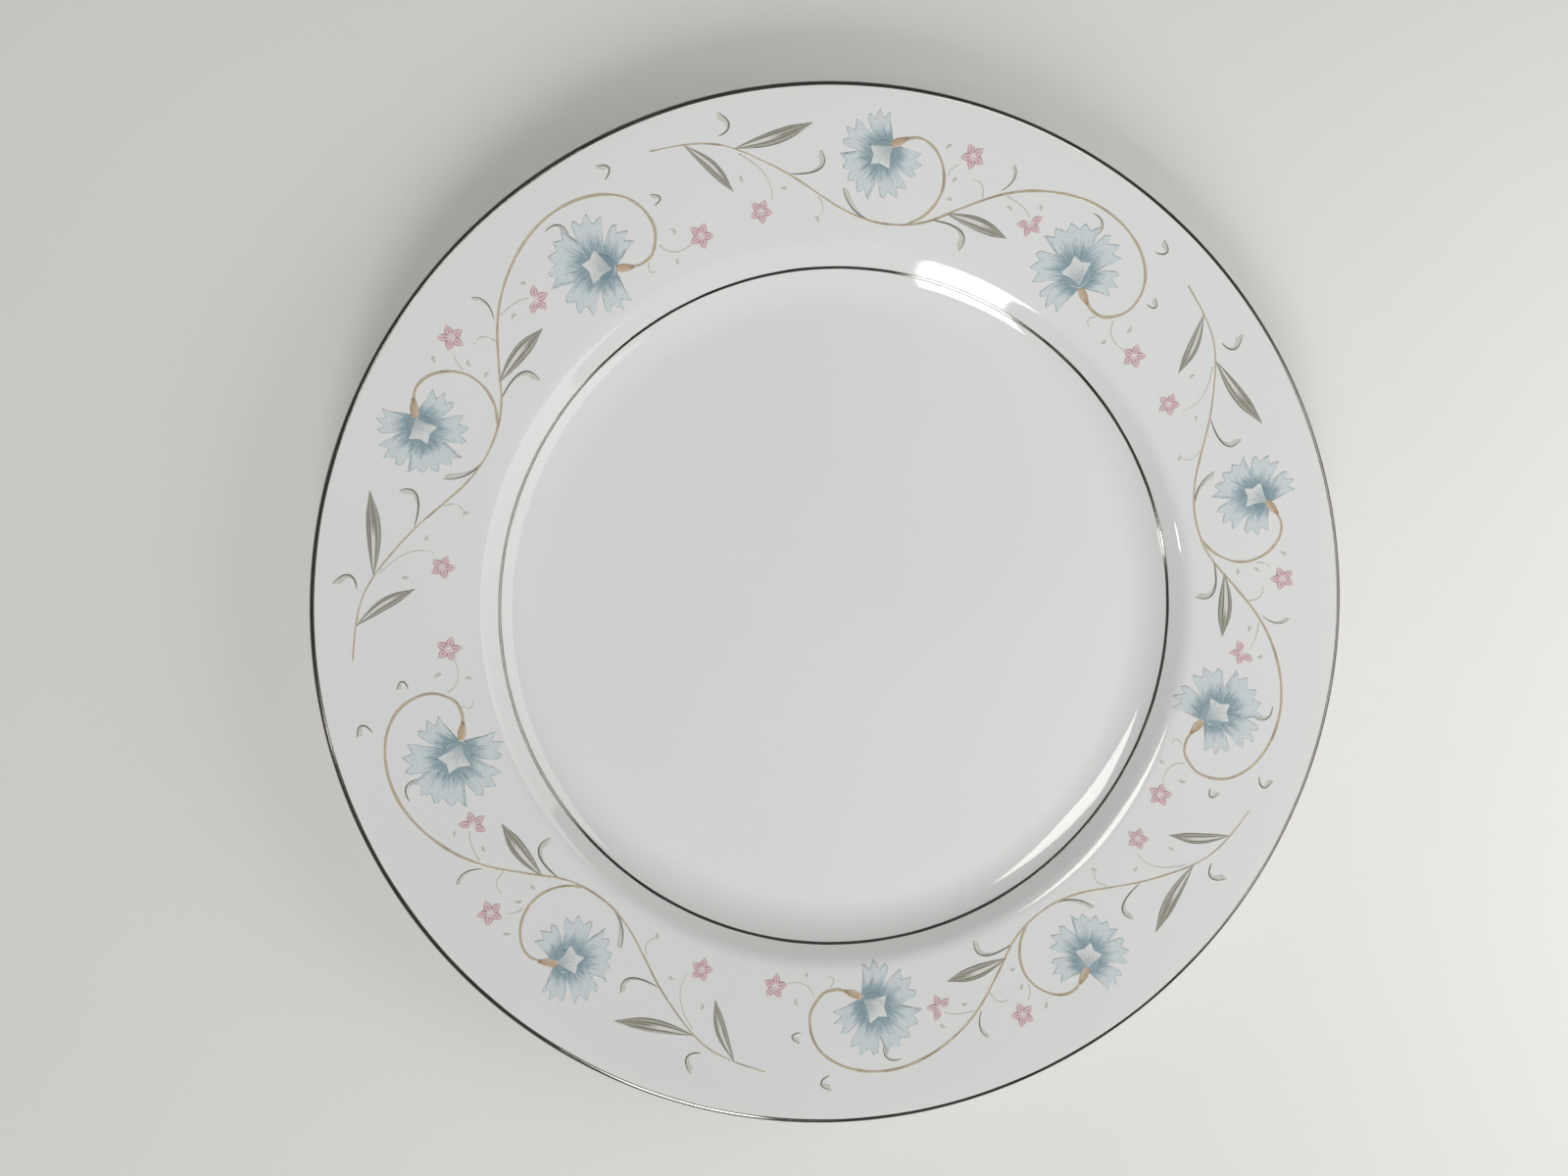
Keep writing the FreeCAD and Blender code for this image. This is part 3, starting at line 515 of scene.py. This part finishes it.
# ---------------------------------------------------------------- materials
class Finish:
    """A material, built up with short calls that each return the socket they end in."""

    def __init__(self, name, roughness, coat=0.0, metallic=0.0):
        self.material = bpy.data.materials.new(name)
        self.material.use_nodes = True
        self.tree = self.material.node_tree
        self.shader = self.tree.nodes["Principled BSDF"]
        self.shader.inputs["Roughness"].default_value = roughness
        self.shader.inputs["Metallic"].default_value = metallic
        self.shader.inputs["Coat Weight"].default_value = coat
        self.shader.inputs["Coat Roughness"].default_value = 0.04
        self.place = self.node("ShaderNodeTexCoord").outputs["Object"]

    def node(self, kind, *values, **settings):
        """A new node with those settings; values feed its inputs in order, None leaves one as it is."""
        made = self.tree.nodes.new(kind)
        for key, value in settings.items():
            setattr(made, key, value)
        for socket, value in zip(made.inputs, values):
            if isinstance(value, bpy.types.NodeSocket):
                self.tree.links.new(value, socket)
            elif value is not None:
                socket.default_value = value
        return made

    def math(self, operation, *values, clamp=False):
        return self.node("ShaderNodeMath", *values, operation=operation, use_clamp=clamp).outputs[0]

    def scaled(self, vector, x, y, z):
        return self.node("ShaderNodeVectorMath", vector, (x, y, z), operation="MULTIPLY").outputs[0]

    def brush(self):
        """The brush values: across, along, and seed."""
        attribute = self.node("ShaderNodeAttribute", attribute_name="brush")
        parts = self.node("ShaderNodeSeparateXYZ", attribute.outputs["Vector"])
        return parts.outputs[0], parts.outputs[1], parts.outputs[2]

    def noise(self, vector, scale, detail=2.0, roughness=0.5):
        made = self.node("ShaderNodeTexNoise", vector)
        made.inputs["Scale"].default_value = scale
        made.inputs["Detail"].default_value = detail
        made.inputs["Roughness"].default_value = roughness
        return made.outputs[0]

    def between(self, value, low, high, start=0.0, end=1.0, smooth=True):
        """Maps low..high to start..end, and holds the ends."""
        made = self.node("ShaderNodeMapRange", value, low, high, start, end)
        made.interpolation_type = "SMOOTHSTEP" if smooth else "LINEAR"
        return made.outputs[0]

    def mix(self, share, one, other):
        made = self.node("ShaderNodeMix", data_type="RGBA")
        for socket, value in zip((made.inputs[0], made.inputs[6], made.inputs[7]), (share, one, other)):
            if isinstance(value, bpy.types.NodeSocket):
                self.tree.links.new(value, socket)
            else:
                socket.default_value = value if isinstance(value, float) else (*value, 1.0)
        return made.outputs[2]

    def set(self, name, socket):
        self.tree.links.new(socket, self.shader.inputs[name])

    def bump(self, height, strength, distance):
        made = self.node("ShaderNodeBump")
        made.inputs["Strength"].default_value = strength
        made.inputs["Distance"].default_value = distance
        self.tree.links.new(height, made.inputs["Height"])
        self.set("Normal", made.outputs[0])


GLAZE_WHITE = (0.772, 0.777, 0.760)


def glaze_finish():
    """Clear glaze over white porcelain: deep gloss, faint orange peel, rare kiln specks, fine scratches."""
    finish = Finish("clear_glaze", 0.05)
    cloud = finish.noise(finish.place, 14.0, 3.0)
    white = finish.mix(finish.between(cloud, 0.3, 0.7), GLAZE_WHITE, (0.787, 0.790, 0.774))
    spot = finish.node("ShaderNodeTexVoronoi", finish.place, feature="F1")
    spot.inputs["Scale"].default_value = 62.0
    chosen = finish.node("ShaderNodeSeparateColor", spot.outputs["Color"]).outputs[0]
    rare = finish.math("GREATER_THAN", chosen, 0.965)
    size = finish.between(spot.outputs["Distance"], 0.008, 0.02, 1.0, 0.0)
    speck = finish.math("MULTIPLY", finish.math("MULTIPLY", size, rare), 0.55)
    finish.set("Base Color", finish.mix(speck, white, (0.30, 0.27, 0.22)))
    scratch = finish.noise(finish.scaled(finish.place, 1.0, 0.05, 1.0), 900.0, 2.0)
    marks = finish.between(scratch, 0.62, 0.8, 0.0, 0.05)
    haze = finish.noise(finish.place, 55.0, 4.0)
    finish.set("Roughness", finish.math("ADD", finish.between(haze, 0.35, 0.7, 0.035, 0.075), marks))
    peel = finish.noise(finish.place, 240.0, 2.0)
    sag = finish.noise(finish.place, 45.0, 1.0)
    height = finish.math("ADD", finish.math("MULTIPLY", peel, 0.25), sag)
    finish.bump(finish.math("SUBTRACT", height, finish.math("MULTIPLY", speck, 2.0)), 0.18, 0.00018)
    return finish.material


def bisque_finish():
    """Bare fired clay on the foot ring: matt, slightly rough, greyed where the plate has stood."""
    finish = Finish("bisque_porcelain", 0.7)
    grain = finish.noise(finish.place, 1400.0, 6.0, 0.7)
    rub = finish.noise(finish.place, 130.0, 4.0)
    clay = finish.mix(finish.between(grain, 0.3, 0.7), (0.66, 0.63, 0.57), (0.76, 0.74, 0.69))
    finish.set("Base Color", finish.mix(finish.between(rub, 0.5, 0.75, 0.0, 0.5), clay, (0.47, 0.45, 0.41)))
    finish.set("Roughness", finish.between(grain, 0.2, 0.8, 0.58, 0.82))
    finish.bump(grain, 0.6, 0.00008)
    return finish.material


def platinum_finish():
    """A fired platinum line: brushed round on a wheel, bright, thin and greyer in places."""
    finish = Finish("platinum", 0.2, metallic=1.0)
    parts = finish.node("ShaderNodeSeparateXYZ", finish.place)
    radius = finish.math("POWER", finish.math("ADD", finish.math("POWER", parts.outputs[0], 2.0),
                                              finish.math("POWER", parts.outputs[1], 2.0)), 0.5)
    drag = finish.node("ShaderNodeCombineXYZ", finish.math("MULTIPLY", radius, 60.0), parts.outputs[0],
                       parts.outputs[1]).outputs[0]
    hairs = finish.noise(drag, 90.0, 3.0, 0.6)
    worn = finish.noise(finish.place, 75.0, 4.0, 0.6)
    metal = finish.mix(finish.between(hairs, 0.3, 0.7), (0.16, 0.152, 0.142), (0.24, 0.23, 0.215))
    rubbed = finish.between(worn, 0.55, 0.8, 0.0, 0.45)
    finish.set("Base Color", finish.mix(rubbed, metal, (0.13, 0.122, 0.112)))
    finish.set("Roughness", finish.math("ADD", finish.between(hairs, 0.3, 0.7, 0.07, 0.15),
                                        finish.between(worn, 0.5, 0.8, 0.0, 0.12)))
    finish.bump(hairs, 0.25, 0.00003)
    return finish.material


def ink_finish(name, make_colour):
    """A printed ink sunk in the glaze, with the glaze's gloss over its colour."""
    finish = Finish(name, 0.18, coat=1.0)
    colour, density = make_colour(finish)
    finish.set("Base Color", colour)
    grain = finish.noise(finish.place, 5200.0, 2.0)
    finish.set("Roughness", finish.between(grain, 0.3, 0.7, 0.13, 0.24))
    finish.bump(finish.math("ADD", finish.math("MULTIPLY", grain, 0.3), density), 0.15, 0.00002)
    return finish.material


def mottled(finish, light, dark, scale=1500.0):
    """Two tones of an ink in fine grains, as a screen print lays them."""
    grain = finish.noise(finish.place, scale, 4.0, 0.65)
    return finish.mix(finish.between(grain, 0.35, 0.65), light, dark)


def blue_ink(finish):
    """Petals: pale, streaked with grey-blue from the throat outward, with a thin dark outline."""
    across, out, seed = finish.brush()
    pale = mottled(finish, (0.680, 0.735, 0.742), (0.610, 0.680, 0.696))
    lane = finish.node("ShaderNodeCombineXYZ", finish.math("MULTIPLY", across, 6.5),
                       finish.math("MULTIPLY", out, 1.1), finish.math("MULTIPLY", seed, 3.7)).outputs[0]
    streak = finish.noise(lane, 2.1, 3.0, 0.6)
    reach = finish.math("ADD", out, finish.math("MULTIPLY", finish.math("SUBTRACT", 0.5, streak), 1.15))
    shade = finish.between(reach, 0.16, 0.66, 1.0, 0.0)
    fine = finish.between(finish.noise(lane, 7.0, 2.0), 0.3, 0.7, 0.55, 1.0)
    shade = finish.math("MULTIPLY", shade, fine)
    body = finish.mix(shade, pale, (0.165, 0.275, 0.315))
    side = finish.between(finish.math("ABSOLUTE", across), 0.86, 0.97)
    line = finish.math("MAXIMUM", side, finish.between(out, 0.93, 0.985))
    dotted = finish.between(finish.noise(lane, 5.0, 2.0), 0.42, 0.62, 0.15, 0.8)
    line = finish.math("MULTIPLY", line, finish.math("MULTIPLY", finish.between(out, 0.35, 0.6), dotted))
    return finish.mix(line, body, (0.24, 0.32, 0.36)), shade


def throat_ink(finish):
    """The throat: almost bare glaze, with faint grey-blue hairs that spread from the calyx."""
    x, y, seed = finish.brush()
    from_calyx = finish.math("SUBTRACT", 0.40, x)
    heading = finish.math("ARCTAN2", y, from_calyx)
    squared = finish.math("ADD", finish.math("POWER", from_calyx, 2.0), finish.math("POWER", y, 2.0))
    far = finish.math("POWER", squared, 0.5)
    hairs = finish.noise(finish.node("ShaderNodeCombineXYZ", finish.math("MULTIPLY", heading, 6.0),
                                     finish.math("MULTIPLY", far, 2.0), seed).outputs[0], 2.4, 3.0, 0.6)
    reach = finish.math("ADD", far, finish.math("MULTIPLY", finish.math("SUBTRACT", 0.5, hairs), 0.9))
    shade = finish.between(reach, 0.08, 0.62, 0.8, 0.0)
    bare = mottled(finish, (0.765, 0.782, 0.755), (0.725, 0.750, 0.740))
    return finish.mix(shade, bare, (0.36, 0.43, 0.46)), shade


def leaf_ink(finish):
    """Leaves: taupe-green with a dark edge, and a light lens beside the rib that a dark line encloses."""
    across, along, seed = finish.brush()
    middle = mottled(finish, (0.44, 0.425, 0.355), (0.355, 0.345, 0.285))
    lane = finish.node("ShaderNodeCombineXYZ", finish.math("MULTIPLY", across, 4.0),
                       finish.math("MULTIPLY", along, 0.12), seed).outputs[0]
    veins = finish.noise(lane, 2.6, 3.0, 0.6)
    streaked = finish.mix(finish.between(veins, 0.4, 0.75, 0.0, 0.6), middle, (0.58, 0.57, 0.50))
    beside = finish.math("ABSOLUTE", finish.math("SUBTRACT", across, 0.12))
    along_lens = finish.math("MULTIPLY", finish.between(along, 0.8, 3.0),
                             finish.between(along, 8.5, 13.5, 1.0, 0.0))
    lens = finish.math("MULTIPLY", finish.between(beside, 0.20, 0.36, 1.0, 0.0), along_lens)
    lit = finish.mix(lens, streaked, (0.71, 0.705, 0.65))
    round_lens = finish.math("MULTIPLY", finish.between(beside, 0.30, 0.42),
                             finish.between(beside, 0.44, 0.62, 1.0, 0.0))
    rib = finish.between(finish.math("ABSOLUTE", across), 0.03, 0.14, 1.0, 0.0)
    beyond = finish.math("MULTIPLY", rib, finish.between(along, 8.5, 13.5))
    edge = finish.between(finish.math("ABSOLUTE", across), 0.72, 0.97)
    drawn = finish.math("MAXIMUM", finish.math("MAXIMUM", round_lens, beyond), edge)
    dark = finish.math("MULTIPLY", drawn, finish.between(veins, 0.25, 0.6, 0.5, 1.0))
    return finish.mix(finish.math("MULTIPLY", dark, 0.95), lit, (0.125, 0.118, 0.090)), dark


def leaflet_ink(finish):
    """Leaflets: a dark stroke along the back that thins to a light wash at the belly."""
    across, along, seed = finish.brush()
    wash = mottled(finish, (0.67, 0.665, 0.60), (0.58, 0.575, 0.505))
    lane = finish.node("ShaderNodeCombineXYZ", finish.math("MULTIPLY", across, 3.0),
                       finish.math("MULTIPLY", along, 0.3), seed).outputs[0]
    brushed = finish.math("ADD", across, finish.math("MULTIPLY", finish.noise(lane, 3.0, 2.0), 0.5))
    back = finish.between(brushed, -0.30, 0.45, 1.0, 0.0)
    return finish.mix(finish.math("MULTIPLY", back, 0.95), wash, (0.115, 0.105, 0.085)), back


def brown_ink(finish):
    """The vine: a soft ochre line, darker down its middle and where the pen paused."""
    across, along, seed = finish.brush()
    line = mottled(finish, (0.55, 0.475, 0.34), (0.47, 0.40, 0.28))
    pause = finish.noise(finish.node("ShaderNodeCombineXYZ", along, seed, 0.0).outputs[0], 0.14, 2.0)
    side = finish.between(finish.math("ABSOLUTE", across), 0.45, 1.0, 0.0, 0.6)
    soft = finish.mix(side, line, (0.68, 0.62, 0.50))
    dark = finish.between(pause, 0.52, 0.7, 0.0, 0.7)
    return finish.mix(dark, soft, (0.30, 0.245, 0.175)), dark


def orange_ink(finish):
    """The calyx: warm ochre, dark where it joins the vine and along one side."""
    across, along, _ = finish.brush()
    warm = mottled(finish, (0.57, 0.43, 0.29), (0.48, 0.36, 0.24))
    light = finish.mix(finish.between(across, -0.2, 0.9, 0.0, 0.55), warm, (0.70, 0.61, 0.50))
    foot = finish.between(along, 0.0, 0.45, 0.75, 0.0)
    edge = finish.between(across, -1.0, -0.6, 0.6, 0.0)
    dark = finish.math("MAXIMUM", foot, edge)
    return finish.mix(dark, light, (0.29, 0.185, 0.095)), dark


def pink_ink(finish):
    """Star flowers: rose petals with a deeper rib and outline, paler at the centre."""
    across, out, _ = finish.brush()
    rose = mottled(finish, (0.765, 0.60, 0.61), (0.71, 0.525, 0.545))
    width = finish.math("ABSOLUTE", across)
    rib = finish.math("MULTIPLY", finish.between(width, 0.05, 0.30, 1.0, 0.0),
                      finish.between(out, 0.35, 0.85, 1.0, 0.0))
    edge = finish.between(width, 0.55, 0.85)
    dark = finish.math("MULTIPLY", finish.math("MAXIMUM", rib, edge), 0.9)
    deep = finish.mix(dark, rose, (0.47, 0.25, 0.305))
    return finish.mix(finish.between(out, 0.04, 0.3, 0.85, 0.0), deep, (0.79, 0.72, 0.70)), dark


def grey_ink(finish):
    """Tendrils and buds: the faintest wash, barely darker than the glaze."""
    across, _, _ = finish.brush()
    faint = mottled(finish, (0.665, 0.670, 0.630), (0.585, 0.590, 0.550))
    dark = finish.between(finish.math("ABSOLUTE", across), 0.3, 1.0, 0.5, 0.0)
    return finish.mix(dark, faint, (0.49, 0.49, 0.44)), dark


GLAZE = glaze_finish()
BISQUE = bisque_finish()
PLATINUM = platinum_finish()
BLUE = ink_finish("blue_ink", blue_ink)
THROAT_BLUE = ink_finish("blue_ink_throat", throat_ink)
GREEN = ink_finish("green_ink", leaf_ink)
LEAFLET_GREEN = ink_finish("green_ink_leaflet", leaflet_ink)
BROWN = ink_finish("brown_ink", brown_ink)
ORANGE = ink_finish("orange_ink", orange_ink)
PINK = ink_finish("pink_ink", pink_ink)
GREY = ink_finish("grey_ink", grey_ink)


# ---------------------------------------------------------------- the pieces
def belongs(piece, slot, *nodes):
    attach(piece, "root")
    if nodes:
        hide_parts(*nodes)


def uneven(seed, amount):
    """A function of azimuth that wanders by about that amount, as a line painted on a turning wheel does."""
    chance = random.Random(seed)
    waves = [(n, chance.uniform(0, 2 * math.pi), chance.uniform(0.3, 1.0)) for n in (2, 3, 7, 13, 29, 47)]
    return lambda a: amount * sum(size * math.sin(n * a + phase) for n, phase, size in waves) / 2


def make_plate():
    body = lathe("porcelain", INNER_FACE + INNER_BACK + FOOT + INNER_RECESS, BISQUE)
    belongs(body, "bisque_porcelain", "porcelain_body")
    coat = lathe("glaze", FACE + BACK + INNER_BACK[::-1][1:] + INNER_FACE[::-1], GLAZE)
    belongs(coat, "clear_glaze", "glaze_coat")
    pool = lathe("foot_recess", INNER_RECESS[::-1] + RECESS[1:], GLAZE)
    belongs(pool, "clear_glaze", "foot_recess_glaze")


def make_metal_lines():
    lip_edge, lip_end = uneven(11, 0.035), uneven(12, 0.03)
    verge_in, verge_out = uneven(13, 0.03), uneven(14, 0.03)

    def lip(a):
        start = math.acos((LIP_LINE_START + lip_edge(a) - LIP_CENTRE[0]) / LIP_RADIUS)
        end = LIP_SIDE + lip_end(a) / LIP_RADIUS
        over = arc(LIP_CENTRE, LIP_RADIUS + METAL_RISE, start, end, 14)
        return over + arc(LIP_CENTRE, LIP_RADIUS - METAL_SUNK, end, start, 14)

    def verge(a):
        inner = VERGE_RADIUS - VERGE_LINE_WIDTH / 2 + verge_in(a) - FLOOR_RADIUS
        outer = VERGE_RADIUS + VERGE_LINE_WIDTH / 2 + verge_out(a) - FLOOR_RADIUS
        start = math.asin(inner / CAVETTO_RADIUS) - QUARTER
        end = math.asin(outer / CAVETTO_RADIUS) - QUARTER
        over = arc(CAVETTO_CENTRE, CAVETTO_RADIUS - METAL_RISE, start, end, 5)
        return over + arc(CAVETTO_CENTRE, CAVETTO_RADIUS + METAL_SUNK, end, start, 5)

    belongs(ring("lip_line", lip, PLATINUM), "platinum", "lip_band")
    belongs(ring("verge_line", verge, PLATINUM), "platinum", "verge_band")


def make_spray(number, placing):
    """The printed pieces of one spray."""
    name, seed = f"spray_{number}", 10 * number
    thin = np.linspace(*TENDRIL_HALF_WIDTHS, TENDRIL_POINTS)
    threads = [ribbon(bowed(*route, TENDRIL_POINTS), thin, thin, seed + k, 3)
               for k, route in enumerate(TENDRILS)]
    curls = [bud(*shape, seed + k) for k, shape in enumerate(BUDS)]
    belongs(printed(f"{name}_tendrils", placing, RISE["tendrils"], threads + curls, [GREY]),
            "grey_ink", f"{name}_grey_tendrils")
    stems = [vine(SCROLL_VINE, seed + 1, 0.9, 0.9), vine(MAIN_VINE, seed, 0.45, 1.0)]
    belongs(printed(f"{name}_vine", placing, RISE["vine"], stems, [BROWN]), "brown_ink", f"{name}_brown_vine")
    for k, shape in enumerate(LEAVES):
        piece = printed(f"{name}_leaf_{k + 1}", placing, RISE["leaves"], [leaf(*shape, seed + k)], [GREEN])
        belongs(piece, "green_ink", *([f"{name}_green_leaves"] if k == 0 else []))
    leaflets = [leaflet(*shape, seed + k) for k, shape in enumerate(LEAFLETS)]
    belongs(printed(f"{name}_leaflets", placing, RISE["leaflets"], leaflets, [LEAFLET_GREEN]), "green_ink")
    for k, (centre, radius, first, count, fill) in enumerate(STARS):
        spacing = fill / count if fill == 360.0 else fill / (count - 1)
        half_width = STAR_HALF_WIDTHS[0] if fill == 360.0 else STAR_HALF_WIDTHS[1]
        petals = [star_petal(centre, radius, first + spacing * n, half_width, seed + n) for n in range(count)]
        piece = printed(f"{name}_star_{k + 1}", placing, RISE["stars"], petals, [PINK])
        belongs(piece, "pink_ink", *([f"{name}_pink_stars"] if k == 0 else []))
    for k, (middle, held, length) in enumerate(CARNATIONS):
        patches = carnation(middle, held, length, seed + 3 * k)
        piece = printed(f"{name}_carnation_{k + 1}", placing, RISE["petals"], patches, [BLUE, THROAT_BLUE])
        belongs(piece, "blue_ink", *([f"{name}_blue_carnations"] if k == 0 else []))
    bells = [calyx(*ends, seed + k) for k, ends in enumerate(CALYXES)]
    belongs(printed(f"{name}_calyxes", placing, RISE["calyxes"], bells, [ORANGE]), "orange_ink",
            f"{name}_orange_calyxes")


make_plate()
make_metal_lines()
for number, placing in enumerate(SPRAYS, start=1):
    make_spray(number, placing)


# ---------------------------------------------------------------- floor, light and camera
def make_floor():
    finish = Finish("pale_floor", 0.6)
    cloud = finish.noise(finish.place, 6.0, 3.0)
    finish.set("Base Color", finish.mix(cloud, (0.76, 0.75, 0.73), (0.80, 0.79, 0.77)))
    mesh = bpy.data.meshes.new("floor")
    half = 3.0
    corners = [(-half, -half, 0), (half, -half, 0), (half, half, 0), (-half, half, 0)]
    mesh.from_pydata(corners, [], [(0, 1, 2, 3)])
    mesh.materials.append(finish.material)
    floor = bpy.data.objects.new("floor", mesh)
    bpy.context.scene.collection.objects.link(floor)


def make_light(name, towards, distance, width, height, power, colour, turn=0.0):
    """A soft rectangular lamp that looks at the plate."""
    lamp = bpy.data.lights.new(name, "AREA")
    lamp.shape = "RECTANGLE"
    lamp.size, lamp.size_y = width, height
    lamp.energy = power
    lamp.color = colour
    light = bpy.data.objects.new(name, lamp)
    bpy.context.scene.collection.objects.link(light)
    direction = Vector(towards).normalized()
    light.location = direction * distance
    light.rotation_euler = (-direction).to_track_quat("-Z", "Y").to_euler()
    light.rotation_euler.rotate_axis("Z", math.radians(turn))


def make_world():
    world = bpy.data.worlds.new("studio")
    world.use_nodes = True
    tree = world.node_tree
    place = tree.nodes.new("ShaderNodeTexCoord")
    parts = tree.nodes.new("ShaderNodeSeparateXYZ")
    ramp = tree.nodes.new("ShaderNodeValToRGB")
    tree.links.new(place.outputs["Generated"], parts.inputs[0])
    tree.links.new(parts.outputs[2], ramp.inputs[0])
    ramp.color_ramp.elements[0].position = 0.15
    ramp.color_ramp.elements[0].color = (0.04, 0.04, 0.041, 1)
    ramp.color_ramp.elements[1].position = 0.95
    ramp.color_ramp.elements[1].color = (0.27, 0.272, 0.275, 1)
    tree.links.new(ramp.outputs[0], tree.nodes["Background"].inputs[0])
    bpy.context.scene.world = world


def make_camera():
    data = bpy.data.cameras.new("camera")
    data.lens = 27.05
    data.sensor_width = 36.0
    camera = bpy.data.objects.new("camera", data)
    bpy.context.scene.collection.objects.link(camera)
    camera.location = (-0.054, 0.0207, 0.3082)
    looking = (Vector((-0.01745, 0.00636, 0.0204)) - camera.location).normalized()
    back = -looking
    right = Vector((0.0, 1.0, 0.0)).cross(back).normalized()
    camera.rotation_euler = Matrix((right, back.cross(right), back)).transposed().to_euler()
    bpy.context.scene.camera = camera


make_floor()
make_world()
make_light("overhead", (-0.235, 0.255, 0.938), 1.3, 0.30, 0.45, 3.85, (1.0, 0.99, 0.97), 51.0)
make_light("front_window", (-0.10, -0.80, 0.59), 1.6, 0.40, 0.75, 10.0, (0.99, 0.995, 1.0))
make_light("side_window", (-0.66, -0.24, 0.71), 1.5, 0.10, 0.16, 0.75, (1.0, 0.99, 0.97))
make_light("right_panel", (0.80, -0.10, 0.58), 0.5, 0.5, 0.30, 1.0, (1.0, 0.995, 0.985))
make_camera()
bpy.context.scene.view_settings.view_transform = "Standard"
